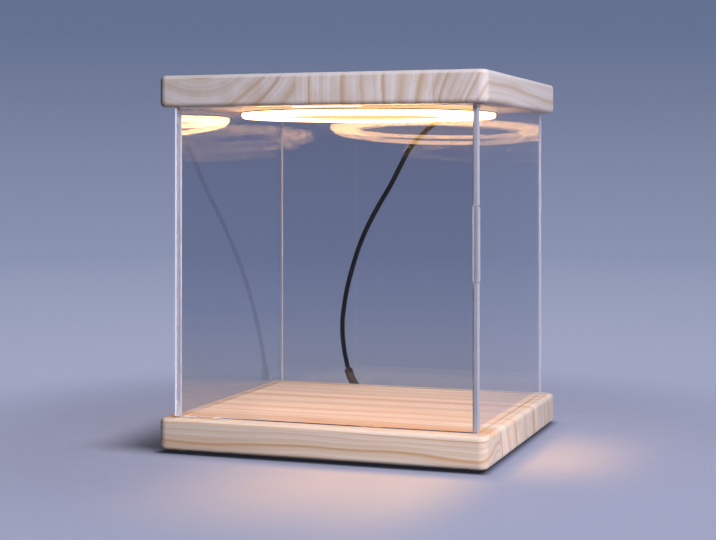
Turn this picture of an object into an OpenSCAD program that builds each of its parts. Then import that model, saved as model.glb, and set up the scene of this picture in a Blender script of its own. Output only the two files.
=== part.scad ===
// Lit display case: two wooden boards, a clear box between them with a swinging
// front door, and a ring lamp let into the underside of the lid.
// Millimetres, Z up, standing on its feet at Z = 0. The door faces -Y.

/* [Boards] */
// Width of the base and of the lid
case_w = 220; // [206:1:300]
// Depth of the base and of the lid
case_d = 198; // [178:1:280]
// Thickness of the base and of the lid
board_t = 20.5; // [19:0.5:26]
// Radius of the boards' upright corners
corner_r = 6; // [6:0.5:7.5]
// Rounding along the boards' top and bottom edges
edge_r = 3; // [1:0.5:3]
// Clear height between the two boards
clear_h = 202; // [170:1:260]

/* [Clear panels] */
// Distance from the edge of the boards to the outer face of the panels
panel_inset = 8; // [7:0.5:8.5]
// Thickness of the side, back and door panels
panel_t = 4; // [3.5:0.1:4.5]
// Depth of the grooves that hold the side and back panels
groove_depth = 4; // [2:0.5:5]
// Room on each face of a panel in its groove
groove_room = 0.1; // [0.05:0.05:0.2]

/* [Door] */
// Gap above and below the door
door_gap = 0.6; // [0.5:0.1:1.2]
// Gap between the closed door and the front edges of the side panels
door_back_gap = 0.3; // [0.3:0.1:0.6]
// Diameter of the two pivot pins
pin_d = 2; // [1.6:0.1:2.2]
// Length of each pin inside the door
pin_hold = 10; // [6:0.5:14]
// Length of each pin inside its bush
pin_reach = 4; // [3:0.5:5]
// Radial running clearance of the pins
pin_play = 0.05; // [0.03:0.01:0.08]
// Thickness of the flange on each bush
bush_flange_t = 0.35; // [0.2:0.05:0.4]
// Height of the pull strip
pull_h = 48; // [30:1:80]
// Width of the pull strip
pull_w = 4.5; // [4:0.5:12]
// Thickness of the pull strip
pull_t = 3; // [2:0.5:4]
// How far the pull strip stands past the free edge of the door
pull_over = 1.8; // [1:0.1:3]
// Height of the middle of the pull strip above the middle of the door
pull_rise = 15; // [-40:1:60]

/* [Ring lamp] */
// Distance from the lamp to the nearest clear panel
lamp_margin = 1; // [1:0.5:12]
// Width of the ring, from its inner to its outer edge
lamp_band = 22.5; // [20:0.5:26]
// Depth of the rebate in the lid that takes the lamp
lamp_depth = 11; // [10:0.5:11]
// How far the diffuser stands below the lid
lamp_proud = 5.5; // [5:0.5:7]
// How far the outer rim of the tray stands below the lid
rim_proud = 2.5; // [0.5:0.1:3]
// How far the inner rim stands below the lid, where it shields the eye
inner_rim_proud = 4; // [0.5:0.1:4.4]
// Wall of the metal tray
tray_wall = 1; // [0.8:0.1:1.4]
// Thickness of the tray's web, against the wood
tray_web = 1.2; // [0.8:0.1:1.5]
// Wall of the diffuser
diffuser_wall = 1.6; // [1.2:0.1:2.2]
// Rounding of the diffuser's lower edges
diffuser_soft = 1.4; // [0.8:0.1:2]
// Thickness of the ring-shaped circuit board
led_board_t = 1.6; // [1:0.1:2]
// Number of light-emitting chips
chip_count = 48; // [24:4:60]
// Number of screws that hold the tray
tray_screw_count = 4; // [3:1:6]
// Shank diameter of the tray screws
tray_screw_d = 2.9; // [2.5:0.1:3.2]
// Length of the tray screws in the wood
tray_screw_l = 7; // [5:0.5:7]

/* [Lead] */
// Diameter of the lead
lead_d = 3.6; // [3:0.1:3.8]
// Distance of the lead's outlet from the middle of the lid
lead_x = 24; // [0:1:45]
// Diameter of the strain relief where it seats in the lid
gland_d = 7; // [6.5:0.1:8]
// Seated depth of the strain relief
gland_seat = 6; // [4:0.5:7]
// Diameter of the strain relief's flange
gland_flange_d = 9.5; // [9:0.1:12]
// Thickness of the strain relief's flange
gland_flange_t = 1.5; // [1:0.1:2]
// Length of the strain relief behind its flange
gland_tail = 12.5; // [8:0.5:20]

/* [Switch on the lead] */
// Length of the switch case
switch_l = 48; // [40:1:56]
// Width of the switch case
switch_w = 15; // [14:0.5:18]
// Height of the switch case
switch_h = 12; // [12:0.5:14]
// Wall of the switch case
switch_wall = 1.6; // [1.2:0.1:2]
// Diameter of the push button
button_d = 8; // [6:0.5:8]
// Travel of the push button
button_travel = 1.2; // [0.8:0.1:1.4]
// How far the button stands above the case
button_proud = 2; // [1.8:0.1:2.6]

/* [Plug] */
// Length of the plug's moulded body
plug_l = 20; // [16:1:20]
// Width of the plug's moulded body
plug_w = 15; // [14:0.5:16]
// Height of the plug's moulded body
plug_h = 8; // [7:0.5:9]
// Width of the plug's metal shell
shell_w = 12; // [11:0.5:12]
// Height of the plug's metal shell
shell_h = 4.5; // [4:0.1:5]
// Length of the plug's metal shell in front of the body
shell_l = 12; // [10:0.5:14]
// Wall of the plug's metal shell
shell_t = 0.4; // [0.3:0.05:0.5]

/* [Feet] */
// Diameter of each foot
foot_d = 10; // [8:0.5:12]
// Height of each foot
foot_h = 2.2; // [1.6:0.1:4]
// Distance from the edges of the base to the middle of each foot
foot_inset = 11; // [10:0.5:18]

/* [Hidden] */
$fn = 64;

// Levels, from the floor up
base_top = foot_h + board_t;
lid_bottom = base_top + clear_h;
lid_top = lid_bottom + board_t;
cut = 1;

// Faces of the clear box
side_x = case_w/2 - panel_inset;
back_y = case_d/2 - panel_inset;
front_y = -back_y;
panel_h = clear_h + 2*groove_depth;
side_front = front_y + panel_t + door_back_gap;

// Door and its pivot, which turns on the middle of the panel's thickness
pivot_x = -side_x + panel_t/2;
pivot_y = front_y + panel_t/2;
door_bottom = base_top + door_gap;
door_h = clear_h - 2*door_gap;
pull_z = door_bottom + door_h/2 + pull_rise;
pull_corner_r = 1.5;
bush_d = panel_t - 0.4;
bush_flange_d = panel_t + 0.4;
bush_l = pin_reach + 1;
pin_end_room = 0.2;
pin_seat_room = 0.03;

// Ring lamp, which fills the space between the panels
lamp_od = min(case_w, case_d) - 2*(panel_inset + panel_t + lamp_margin);
lamp_r = lamp_od/2;
lamp_inner_r = lamp_r - lamp_band;
lamp_mid_r = (lamp_r + lamp_inner_r)/2;
lamp_room = 0.2;
web_top = lid_bottom + lamp_depth;
web_bottom = web_top - tray_web;
rim_z = lid_bottom - rim_proud;
inner_rim_z = lid_bottom - inner_rim_proud;
ledge = 1.8;
lead_z = web_bottom - lead_d/2 - 0.2;
led_top = lead_z - lead_d/2 - 0.7;
led_bottom = led_top - led_board_t;
diffuser_bottom = lid_bottom - lamp_proud;
fit = 0.1;
chip_l = 3.5;
chip_w = 2.8;
chip_h = 0.8;
screw_head_d = 5.6;
screw_head_h = 1.6;
screw_room = 0.05;

// Lead, inside the lid
tail_front = sqrt(pow(lamp_r - tray_wall - ledge, 2) - pow(lead_x, 2)) - 1;
tail_back = case_d/2 + gland_flange_t + gland_tail;
lead_room = 0.05;
core_d = 1.2;
core_gap = 1.8;
core_l = 4;

// Switch and plug, which lie behind the base
switch_x = -14;
switch_y = case_d/2 + 53;
switch_end = 5;
switch_room_l = switch_l - 2*switch_end;
switch_corner_r = 5;
switch_edge_r = 1.5;
boss_d = 4;
boss_x = switch_room_l/2 - boss_d/2 + 0.6;
switch_screw_d = 1.8;
switch_screw_l = 5;
screw_sink = 1.2;
board_z = 3.6;
board_thick = 1.2;
board_l = 24;
board_w = 10;
key_side = 6;
key_h = 2.2;
button_room = 0.15;
skirt = 0.6;
plug_x = 22;
plug_y = case_d/2 + 19;

// Hanging route of the lead, laid out for an outlet at [laid_x, laid_back, laid_z] and a
// switch whose lead is at the height laid_low
laid_x = 24;
laid_back = 99;
laid_z = 232.5;
laid_low = 6;
laid_route = [
    [24, 113, 232.5], [24, 117.6, 232.4], [22.9, 122.8, 230.8], [19.6, 127, 226.9],
    [14, 128.6, 221.3], [7.2, 126.8, 215.2], [1, 122.6, 208.3], [-4.8, 118, 200],
    [-11, 116, 188], [-19.3, 115, 172], [-28.2, 114, 157], [-36.4, 113.5, 142],
    [-43.4, 114, 127], [-49.2, 116, 112], [-54.4, 118, 96], [-58.4, 120.5, 80],
    [-61.2, 124, 64], [-62.2, 129, 49], [-61.9, 135.5, 34], [-60.6, 142, 21],
    [-57, 147.5, 12], [-51, 151, 7.5], [-44, 152, 6], [-38, 152, 6]];
// It follows the outlet, the back of the case and the switch when they move
function laid_share(p) = (p[2] - laid_low)/(laid_z - laid_low);
lamp_route = [for (p = laid_route) [
    p[0] + laid_share(p)*(lead_x - laid_x),
    p[1] + case_d/2 - laid_back,
    switch_h/2 + laid_share(p)*(lead_z - switch_h/2)]];
// Routes from the switch to the coil and from the coil to the plug, behind the case
coil_route = [for (p = [
    [10, 53, 6], [14, 53, 6], [21, 53.6, 4.8], [29, 55.6, 2.8], [37, 58.4, 1.9],
    [45, 61.2, 1.8], [52.4, 63.2, 1.8], [56.4, 63.2, 1.8]]) p + [0, case_d/2, 0]];
plug_route = [for (p = [
    [56.4, 6.8, 5.9], [52.8, 6.8, 5.9], [46, 7.8, 5.5], [39.5, 10.8, 4.9],
    [33.5, 14.8, 4.4], [28, 18.2, 4], [25, 19, 4], [22, 19, 4]]) p + [0, case_d/2, 0]];

// Sleeve on the lead, over two of the route's points near the floor
sleeve_from = 37;
sleeve_to = 40;
sleeve_d = 6.4;
sleeve_room = 0.07;

// Coil of the lead: it winds in on the floor and out again on top
coil_x = 60;
coil_y = case_d/2 + 35;
coil_outer_r = 28.2;
coil_pitch = 4.1;
coil_turns = 4;
coil_steps = 24;
coil_low = 1.8;
coil_high = 5.9;
coil_dip = 0.6;
coil_climb = 180;

// A rectangle with round corners, built from squares and circles
module round_rect(w, h, r) {
    square([w - 2*r, h], center = true);
    square([w, h - 2*r], center = true);
    for (sx = [-1, 1], sy = [-1, 1])
        translate([sx*(w/2 - r), sy*(h/2 - r)]) circle(r);
}

// A board of height h standing on z = 0, with round upright corners and soft edges
module soft_slab(w, d, h, corner, edge) {
    rotate([90, 0, 90])
        translate([0, h/2, -w/2 + corner]) linear_extrude(w - 2*corner) round_rect(d, h, edge);
    rotate([90, 0, 0])
        translate([0, h/2, -d/2 + corner]) linear_extrude(d - 2*corner) round_rect(w, h, edge);
    for (sx = [-1, 1], sy = [-1, 1])
        translate([sx*(w/2 - corner), sy*(d/2 - corner), 0])
            rotate_extrude() intersection() {
                translate([0, h/2]) round_rect(2*corner, h, edge);
                square([corner, h]);
            }
}

// Grooves for the side and back panels, from z0 to z0 + h
module panel_grooves(z0, h) {
    w = panel_t + 2*groove_room;
    for (s = [-1, 1])
        translate([s*(side_x - panel_t/2) - w/2, side_front - groove_room, z0])
            cube([w, back_y - side_front + 2*groove_room, h]);
    translate([-side_x + panel_t/2, back_y - panel_t - groove_room, z0])
        cube([2*side_x - panel_t, w, h]);
}

module base_board() {
    color("burlywood") difference() {
        translate([0, 0, foot_h]) soft_slab(case_w, case_d, board_t, corner_r, edge_r);
        panel_grooves(base_top - groove_depth, groove_depth + cut);
        translate([pivot_x, pivot_y, base_top - bush_l]) cylinder(d = bush_d, h = bush_l + cut);
    }
}

module lid_board() {
    color("burlywood") difference() {
        translate([0, 0, lid_bottom]) soft_slab(case_w, case_d, board_t, corner_r, edge_r);
        panel_grooves(lid_bottom - cut, groove_depth + cut);
        translate([pivot_x, pivot_y, lid_bottom - cut]) cylinder(d = bush_d, h = bush_l + cut);
        translate([0, 0, lid_bottom - cut]) difference() {
            cylinder(r = lamp_r + lamp_room, h = lamp_depth + cut, $fn = 128);
            translate([0, 0, -cut])
                cylinder(r = lamp_inner_r - lamp_room, h = lamp_depth + 3*cut, $fn = 128);
        }
        for (a = [0:tray_screw_count - 1]) rotate(screw_angle(a))
            translate([lamp_mid_r, 0, web_top - cut])
                cylinder(d = tray_screw_d + 2*screw_room, h = tray_screw_l + cut);
        translate([lead_x, 0, lead_z]) rotate([-90, 0, 0]) {
            translate([0, 0, lamp_mid_r]) cylinder(d = lead_d + 1, h = case_d/2 - lamp_mid_r);
            translate([0, 0, case_d/2 - gland_seat]) cylinder(d = gland_d, h = gland_seat + cut);
        }
    }
}

// Screws sit between the corners, away from the lead's outlet
function screw_angle(i) = 45 + i*360/tray_screw_count;

module side_panel(s) {
    color("lightcyan", 0.4)
        translate([s*(side_x - panel_t/2) - panel_t/2, side_front, base_top - groove_depth])
            cube([panel_t, back_y - side_front, panel_h]);
}

module left_panel() { side_panel(-1); }

module right_panel() { side_panel(1); }

module back_panel() {
    color("lightcyan", 0.4)
        translate([-side_x + panel_t, back_y - panel_t, base_top - groove_depth])
            cube([2*(side_x - panel_t), panel_t, panel_h]);
}

// The hinge edge is half round, so that it clears the side panel as it turns
module door_panel() {
    color("lightcyan", 0.4) difference() {
        translate([0, 0, door_bottom]) {
            translate([pivot_x, front_y, 0]) cube([side_x - pivot_x, panel_t, door_h]);
            translate([pivot_x, pivot_y, 0]) cylinder(d = panel_t, h = door_h);
        }
        for (z = [door_bottom - cut, door_bottom + door_h - pin_hold])
            translate([pivot_x, pivot_y, z])
                cylinder(d = pin_d + 2*pin_seat_room, h = pin_hold + cut);
    }
}

// A strip on the door's face, standing a little past its free edge as a finger grip
module door_pull() {
    color("lightcyan", 0.5) translate([side_x + pull_over - pull_w/2, front_y, pull_z])
        rotate([90, 0, 0]) linear_extrude(pull_t) round_rect(pull_w, pull_h, pull_corner_r);
}

module pivot_pin(z) {
    color("silver") translate([pivot_x, pivot_y, z])
        cylinder(d = pin_d, h = pin_hold + door_gap + pin_reach);
}

module pivot_pin_top() { pivot_pin(door_bottom + door_h - pin_hold); }

module pivot_pin_bottom() { pivot_pin(base_top - pin_reach); }

module pivot_bush(flip) {
    color("goldenrod") translate([pivot_x, pivot_y, flip ? lid_bottom : base_top])
        mirror([0, 0, flip ? 1 : 0]) difference() {
            union() {
                translate([0, 0, -bush_l]) cylinder(d = bush_d, h = bush_l);
                cylinder(d = bush_flange_d, h = bush_flange_t);
            }
            translate([0, 0, -pin_reach - pin_end_room])
                cylinder(d = pin_d + 2*pin_play, h = bush_l + cut);
        }
}

module pivot_bush_top() { pivot_bush(true); }

module pivot_bush_bottom() { pivot_bush(false); }

// Section of the tray: a channel that opens downwards, with a ledge for the circuit board
module tray_section() {
    translate([lamp_inner_r, web_bottom]) square([lamp_band, web_top - web_bottom]);
    translate([lamp_inner_r, inner_rim_z]) square([tray_wall, web_top - inner_rim_z]);
    translate([lamp_r - tray_wall, rim_z]) square([tray_wall, web_top - rim_z]);
    translate([lamp_inner_r, led_top]) square([tray_wall + ledge, web_top - led_top]);
    translate([lamp_r - tray_wall - ledge, led_top]) square([tray_wall + ledge, web_top - led_top]);
}

module lamp_tray() {
    color("dimgray") difference() {
        rotate_extrude($fn = 128) tray_section();
        for (a = [0:tray_screw_count - 1]) rotate(screw_angle(a))
            translate([lamp_mid_r, 0, web_bottom - cut])
                cylinder(d = tray_screw_d + 0.4, h = web_top - web_bottom + 2*cut);
        translate([lead_x, lamp_mid_r, lead_z]) rotate([-90, 0, 0])
            cylinder(d = lead_d + 2*lead_room, h = lamp_band);
    }
}

module led_board() {
    color("whitesmoke") translate([0, 0, led_bottom]) difference() {
        cylinder(r = lamp_r - tray_wall - fit, h = led_board_t, $fn = 128);
        translate([0, 0, -cut])
            cylinder(r = lamp_inner_r + tray_wall + fit, h = led_board_t + 2*cut, $fn = 128);
    }
}

module led_chips() {
    color("khaki") for (i = [0:chip_count - 1]) rotate(i*360/chip_count)
        translate([lamp_mid_r - chip_w/2, -chip_l/2, led_bottom - chip_h])
            cube([chip_w, chip_l, chip_h]);
}

// Section of the diffuser: a channel that opens upwards, with soft lower edges
module diffuser_section() {
    inner = lamp_inner_r + tray_wall + fit;
    band = lamp_band - 2*(tray_wall + fit);
    h = led_bottom - diffuser_bottom;
    difference() {
        translate([inner, diffuser_bottom]) {
            translate([0, diffuser_soft]) square([band, h - diffuser_soft]);
            translate([diffuser_soft, 0]) square([band - 2*diffuser_soft, h]);
            translate([diffuser_soft, diffuser_soft]) circle(diffuser_soft);
            translate([band - diffuser_soft, diffuser_soft]) circle(diffuser_soft);
        }
        translate([inner + diffuser_wall, diffuser_bottom + diffuser_wall])
            square([band - 2*diffuser_wall, h]);
    }
}

module lamp_diffuser() {
    color("ivory") rotate_extrude($fn = 128) diffuser_section();
}

module tray_screws() {
    color("silver") for (a = [0:tray_screw_count - 1]) rotate(screw_angle(a))
        translate([lamp_mid_r, 0, web_bottom]) {
            cylinder(d = tray_screw_d, h = tray_screw_l + web_top - web_bottom);
            translate([0, 0, -screw_head_h]) cylinder(d = screw_head_d, h = screw_head_h);
        }
}

// Strain relief: a seat, a flange and a tapered tail, all with one bore
module lead_gland() {
    color("#222222") translate([lead_x, case_d/2, lead_z]) rotate([-90, 0, 0]) difference() {
        union() {
            translate([0, 0, -gland_seat]) cylinder(d = gland_d - 2*lead_room, h = gland_seat);
            cylinder(d = gland_flange_d, h = gland_flange_t);
            cylinder(d1 = gland_d, d2 = lead_d + 1.4, h = gland_flange_t + gland_tail);
        }
        translate([0, 0, -gland_seat - cut])
            cylinder(d = lead_d + 2*lead_room, h = gland_seat + gland_tail + 3*cut + gland_flange_t);
    }
}

// The end of the lead in the lid, with its two cores soldered to the circuit board
module lead_tail() {
    color("#1a1a1a") {
        translate([lead_x, tail_front, lead_z]) rotate([-90, 0, 0])
            cylinder(d = lead_d, h = tail_back - tail_front);
        for (s = [-1, 1]) translate([lead_x + s*core_gap/2, tail_front, lead_z]) {
            rotate([90, 0, 0]) cylinder(d = core_d, h = core_l);
            translate([0, core_d/2 - core_l, led_top - lead_z])
                cylinder(d = core_d, h = lead_z - led_top);
        }
    }
}

// Points halfway between the points of a route, on a smooth curve through them
function route_at(r, i) = r[max(0, min(len(r) - 1, i))];
function smooth(r) = [for (i = [0:len(r) - 1], half = i == len(r) - 1 ? [0] : [0, 1])
    half == 0 ? r[i]
        : (9*(r[i] + r[i + 1]) - route_at(r, i - 1) - route_at(r, i + 2))/16];

function unit(v) = v/norm(v);
function heading(path, i) = unit(route_at(path, i + 1) - route_at(path, i - 1));
// A side direction carried along the path without twist
function carry(u, t) = unit(u - (u*t)*t);
function side_list(path, first) = [for (i = 0, u = carry(first, heading(path, 0));
    i < len(path); i = i + 1, u = i < len(path) ? carry(u, heading(path, i)) : u) u];

// A solid tube of given radius and number of sides along a path
module tube(path, r, sides, first) {
    side = side_list(path, first);
    last = len(path) - 1;
    points = [for (i = [0:last]) let (up = cross(heading(path, i), side[i]))
        for (k = [0:sides - 1]) let (a = 360*(k + 0.5)/sides)
            path[i] + r*cos(a)*side[i] + r*sin(a)*up];
    walls = [for (i = [0:last - 1], k = [0:sides - 1]) let (
        a = i*sides + k, b = i*sides + (k + 1) % sides)
        each [[a, a + sides, b], [b, a + sides, b + sides]]];
    ends = [for (k = [1:sides - 2]) each [[0, k, k + 1],
        [last*sides, last*sides + k + 1, last*sides + k]]];
    polyhedron(points, concat(walls, ends));
}

lamp_path = smooth(lamp_route);

module lamp_lead() { color("#1a1a1a") tube(lamp_path, lead_d/2, 8, [1, 0, 0]); }

// A short sleeve round the lead, bent with it: an outer and an inner skin, joined at both ends
module lead_sleeve() {
    path = [for (i = [sleeve_from:sleeve_to]) lamp_path[i]];
    sides = 16;
    last = len(path) - 1;
    side = side_list(path, [1, 0, 0]);
    points = [for (r = [sleeve_d/2, lead_d/2 + sleeve_room], i = [0:last])
        let (up = cross(heading(path, i), side[i]))
        for (k = [0:sides - 1]) path[i] + r*cos(360*k/sides)*side[i] + r*sin(360*k/sides)*up];
    n = len(points)/2;
    m = last*sides;
    faces = [for (k = [0:sides - 1]) let (a = k, b = (k + 1) % sides) each concat(
        [for (j = [0:sides:m - 1]) each [[a + j, a + j + sides, b + j],
            [b + j, a + j + sides, b + j + sides],
            [n + a + j, n + b + j, n + a + j + sides],
            [n + b + j, n + b + j + sides, n + a + j + sides]]],
        [[a, b, n + b], [a, n + b, n + a],
            [m + a, n + m + b, m + b], [m + a, n + m + a, n + m + b]])];
    color("#222222") polyhedron(points, faces);
}

module coil_lead() { color("#1a1a1a") tube(coil_route, lead_d/2, 8, [0, 1, 0]); }

module plug_lead() { color("#1a1a1a") tube(plug_route, lead_d/2, 8, [0, 1, 0]); }

// Coil: turned clockwise seen from above, from the far side in, up, and out to the near side
coil_in = 360*coil_turns;
coil_inner_r = coil_outer_r - coil_turns*coil_pitch;
function coil_r(a) = a < coil_in ? coil_outer_r - coil_pitch*a/360
    : a < coil_in + coil_climb ? coil_inner_r - coil_dip*sin(180*(a - coil_in)/coil_climb)
    : coil_inner_r + coil_pitch*(a - coil_in - coil_climb)/360;
function coil_z(a) = a < coil_in ? coil_low
    : a < coil_in + coil_climb ? coil_low + (coil_high - coil_low)*(a - coil_in)/coil_climb
    : coil_high;
function coil_point(a) = [coil_x + coil_r(a)*sin(a), coil_y + coil_r(a)*cos(a), coil_z(a)];
coil_last = 2*coil_in + coil_climb;
coil_path = concat(
    [coil_point(0) - [lead_d, 0, 0]],
    [for (a = [360/coil_steps:360/coil_steps:coil_last - 1]) coil_point(a)],
    [coil_point(coil_last) - [lead_d, 0, 0]]);
coil_gap = min([for (i = [0:len(coil_path) - 1], j = [i + coil_steps/2:1:len(coil_path) - 1])
    norm(coil_path[i] - coil_path[j])]) - lead_d;
echo(str("Least gap of the coil to itself: ", coil_gap, " mm"));

module lead_coil() { color("#1a1a1a") tube(coil_path, lead_d/2, 6, [0, 0, 1]); }

// Half of the switch case, between two heights, split at the height of the lead
module switch_shell(low, high) {
    difference() {
        translate([switch_x, switch_y, 0]) intersection() {
            soft_slab(switch_l, switch_w, switch_h, switch_corner_r, switch_edge_r);
            translate([-switch_l, -switch_w, low]) cube([2*switch_l, 2*switch_w, high - low]);
        }
        translate([switch_x - switch_room_l/2, switch_y - switch_w/2 + switch_wall, switch_wall])
            cube([switch_room_l, switch_w - 2*switch_wall, switch_h - 2*switch_wall]);
        for (s = [-1, 1]) translate([switch_x + s*switch_l/2, switch_y, switch_h/2])
            rotate([0, -s*90, 0]) translate([0, 0, -cut])
                cylinder(d = lead_d + 2*lead_room, h = switch_end + 2*cut);
    }
}

// A round post or hole at each end of the switch case
module switch_posts(z, d, h) {
    for (s = [-1, 1]) translate([switch_x + s*boss_x, switch_y, z]) cylinder(d = d, h = h);
}

module switch_lower() {
    color("#262626") difference() {
        union() {
            switch_shell(0, switch_h/2);
            switch_posts(switch_wall, boss_d, switch_h/2 - switch_wall);
            for (s = [-1, 1])
                translate([switch_x + s*board_l/4 - 1, switch_y - key_side/2, switch_wall])
                    cube([2, key_side, board_z - switch_wall]);
        }
        switch_posts(-cut, switch_screw_d + 0.3, switch_h);
        switch_posts(-cut, 2*switch_screw_d, cut + screw_sink + 0.2);
    }
}

module switch_upper() {
    color("#262626") difference() {
        union() {
            switch_shell(switch_h/2, switch_h);
            switch_posts(switch_h/2, boss_d, switch_h/2 - switch_wall);
        }
        switch_posts(switch_h/2 - cut, switch_screw_d + 2*screw_room,
            cut + 0.2 + screw_sink + switch_screw_l - switch_h/2);
        translate([switch_x, switch_y, switch_h/2])
            cylinder(d = button_d + 2*button_room, h = switch_h);
    }
}

// Circuit board with the small key that the button works
module switch_board() {
    color("seagreen") translate([switch_x, switch_y, board_z]) {
        translate([-board_l/2, -board_w/2, 0]) cube([board_l, board_w, board_thick]);
        translate([-key_side/2, -key_side/2, board_thick]) cube([key_side, key_side, key_h]);
    }
}

module switch_screws() {
    color("silver") {
        switch_posts(0.2, 2*switch_screw_d - 0.2, screw_sink);
        switch_posts(0.2, switch_screw_d, screw_sink + switch_screw_l);
    }
}

// The button's skirt catches under the case and keeps it in
module switch_button() {
    low = board_z + board_thick + key_h + button_travel + button_room;
    color("#7a1f1f") translate([switch_x, switch_y, low]) {
        cylinder(d = button_d, h = switch_h + button_proud - low);
        cylinder(d = button_d + 2*skirt, h = switch_h - switch_wall - 0.1 - low);
    }
}

module plug_body() {
    color("#1f1f1f") difference() {
        translate([plug_x - plug_l/2, plug_y, 0]) soft_slab(plug_l, plug_w, plug_h, 3, 1.5);
        translate([plug_x - plug_l - cut, plug_y - shell_w/2, plug_h/2 - shell_h/2])
            cube([cut + plug_l/2, shell_w, shell_h]);
        translate([plug_x + cut, plug_y, plug_h/2]) rotate([0, -90, 0])
            cylinder(d = lead_d + 2*lead_room, h = 1 + cut);
    }
}

module plug_shell() {
    full = shell_l + plug_l/2;
    color("silver") translate([plug_x - plug_l - shell_l, plug_y, plug_h/2]) difference() {
        translate([0, -shell_w/2, -shell_h/2]) cube([full, shell_w, shell_h]);
        translate([-cut, -shell_w/2 + shell_t, -shell_h/2 + shell_t])
            cube([full + 2*cut, shell_w - 2*shell_t, shell_h - 2*shell_t]);
        for (s = [-1, 1], z = [-1, 1]) translate([5, s*shell_w/4 - 1, z*shell_h/2 - 0.5])
            cube([2.4, 2, 1]);
    }
}

module plug_tongue() {
    tongue_w = shell_w - 2*shell_t - 2*fit;
    color("white") translate([plug_x - plug_l - shell_l + 0.6, plug_y - tongue_w/2, plug_h/2]) {
        cube([shell_l + plug_l/2 - 0.6, tongue_w, shell_h/2 - shell_t]);
        translate([shell_l, 0, -shell_h/2 + shell_t])
            cube([plug_l/2 - 1, tongue_w, shell_h/2 - shell_t]);
    }
}

// A soft round foot, domed at its edge
module foot(sx, sy) {
    soft = 0.8;
    color("gainsboro") translate([sx*(case_w/2 - foot_inset), sy*(case_d/2 - foot_inset), 0])
        rotate_extrude() {
            square([foot_d/2 - soft, foot_h]);
            translate([0, soft]) square([foot_d/2, foot_h - soft]);
            intersection() {
                translate([foot_d/2 - soft, soft]) circle(soft);
                square([foot_d/2, foot_h]);
            }
        }
}

module foot_front_left() { foot(-1, -1); }

module foot_front_right() { foot(1, -1); }

module foot_back_left() { foot(-1, 1); }

module foot_back_right() { foot(1, 1); }

base_board();
lid_board();
left_panel();
right_panel();
back_panel();
door_panel();
door_pull();
pivot_pin_top();
pivot_pin_bottom();
pivot_bush_top();
pivot_bush_bottom();
lamp_tray();
led_board();
led_chips();
lamp_diffuser();
tray_screws();
lead_gland();
lead_tail();
lamp_lead();
lead_sleeve();
coil_lead();
lead_coil();
plug_lead();
switch_lower();
switch_upper();
switch_board();
switch_screws();
switch_button();
plug_body();
plug_shell();
plug_tongue();
foot_front_left();
foot_front_right();
foot_back_left();
foot_back_right();
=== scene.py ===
import math

import bmesh
import bpy
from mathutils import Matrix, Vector


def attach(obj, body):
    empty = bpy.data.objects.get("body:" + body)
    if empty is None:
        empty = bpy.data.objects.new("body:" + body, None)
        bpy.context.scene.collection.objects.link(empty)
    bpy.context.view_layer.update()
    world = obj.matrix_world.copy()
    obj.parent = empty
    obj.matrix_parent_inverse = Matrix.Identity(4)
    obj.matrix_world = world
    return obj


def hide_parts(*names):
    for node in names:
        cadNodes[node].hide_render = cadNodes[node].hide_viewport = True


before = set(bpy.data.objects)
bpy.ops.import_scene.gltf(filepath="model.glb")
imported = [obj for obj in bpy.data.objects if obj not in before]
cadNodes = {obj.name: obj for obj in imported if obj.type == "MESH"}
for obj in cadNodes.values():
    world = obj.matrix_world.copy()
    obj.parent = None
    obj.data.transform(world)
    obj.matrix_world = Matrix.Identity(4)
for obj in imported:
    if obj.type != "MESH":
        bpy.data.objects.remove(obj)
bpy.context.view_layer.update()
mm = 0.001
print("frame loaded:", len(cadNodes), "nodes")


# Camera, fitted to the edges of the two boards
camera = {
    "place": (0.3367, -0.9906, 0.1839),
    "turnLeft": 19.11,  # degrees from +Y
    "lens": 76.58,
    "sensor": 36,
    "shiftY": -0.1397,
}


def addCamera(settings):
    data = bpy.data.cameras.new("camera")
    data.lens = settings["lens"]
    data.sensor_width = settings["sensor"]
    data.shift_y = settings["shiftY"]
    data.clip_start = 0.05
    data.clip_end = 50
    obj = bpy.data.objects.new("camera", data)
    obj.location = settings["place"]
    obj.rotation_euler = (math.radians(90), 0, math.radians(settings["turnLeft"]))
    bpy.context.scene.collection.objects.link(obj)
    bpy.context.scene.camera = obj


addCamera(camera)
print("camera placed")


# Small helpers for shader nodes
def srgb(r, g, b):
    parts = [v / 255 for v in (r, g, b)]
    flat = [v / 12.92 if v <= 0.04045 else ((v + 0.055) / 1.055) ** 2.4 for v in parts]
    return (*flat, 1)


def addNode(tree, kind, feeds=None, **settings):
    made = tree.nodes.new("ShaderNode" + kind)
    for key, value in settings.items():
        setattr(made, key, value)
    for key, value in (feeds or {}).items():
        socket = made.inputs[key]
        if isinstance(value, bpy.types.NodeSocket):
            tree.links.new(value, socket)
        else:
            socket.default_value = value
    return made


def calc(tree, how, *values):
    made = tree.nodes.new("ShaderNodeMath")
    made.operation = how
    for i, value in enumerate(values):
        if isinstance(value, bpy.types.NodeSocket):
            tree.links.new(value, made.inputs[i])
        else:
            made.inputs[i].default_value = value
    return made.outputs[0]


def span(tree, value, low, high, newLow=0.0, newHigh=1.0, smooth=True):
    made = addNode(tree, "MapRange", {
        "Value": value, "From Min": low, "From Max": high, "To Min": newLow, "To Max": newHigh,
    }, interpolation_type="SMOOTHSTEP" if smooth else "LINEAR")
    return made.outputs[0]


def mixColour(tree, share, first, second, blend="MIX"):
    made = addNode(tree, "Mix", data_type="RGBA", blend_type=blend)
    for key, value in ((0, share), (6, first), (7, second)):
        if isinstance(value, bpy.types.NodeSocket):
            tree.links.new(value, made.inputs[key])
        else:
            made.inputs[key].default_value = value
    return made.outputs[2]


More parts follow.
